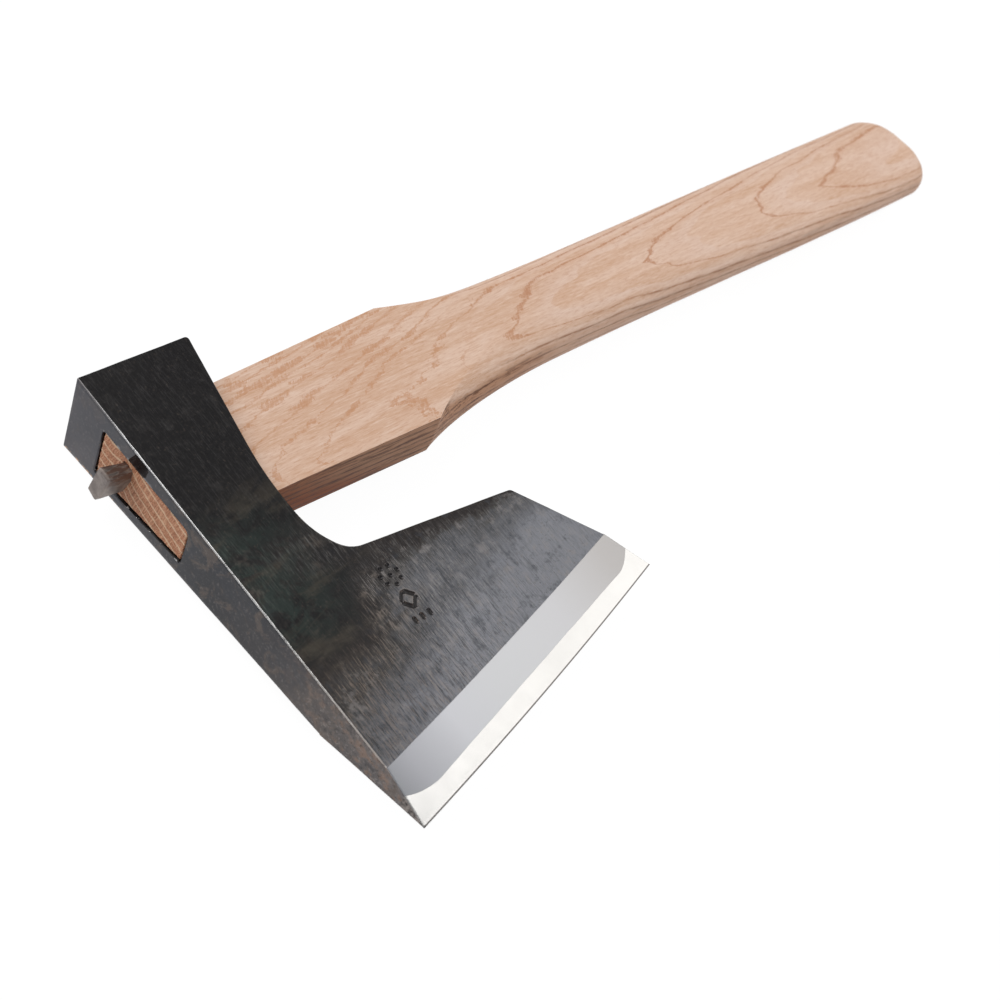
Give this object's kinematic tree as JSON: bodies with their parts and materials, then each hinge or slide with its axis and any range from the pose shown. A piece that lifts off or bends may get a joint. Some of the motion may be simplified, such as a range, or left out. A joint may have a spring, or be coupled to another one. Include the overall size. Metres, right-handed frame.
{
  "type": "hatchet",
  "caption": "Bearded hatchet: forged wedge-shaped head with a bright welded edge, straight oak handle with flat block and oval grip, and a steel wedge standing proud of the eye.",
  "frame": {"origin": "centre of the flat poll face, the hammer side of the head", "axes": "+X along the handle from the head to the butt, +Y outward from the poll face so the cutting edge faces -Y, +Z out of the upper cheek; the hatchet lies on its side"},
  "size_m": [0.344, 0.1321, 0.025],
  "materials": {
    "forge_scale": "black forge scale with fine grinding marks, worn bright on the front ridge",
    "polished_steel": "whetstone-polished hardened steel",
    "white_oak": "bare sanded oak, flat-sawn figure on the broad sides",
    "dull_iron": "hammered dull iron with brown oxide"
  },
  "bodies": {
    "root": {"head": "forge_scale", "edge_steel": "polished_steel", "handle": "white_oak", "wedge": "dull_iron"}
  },
  "joints": []
}
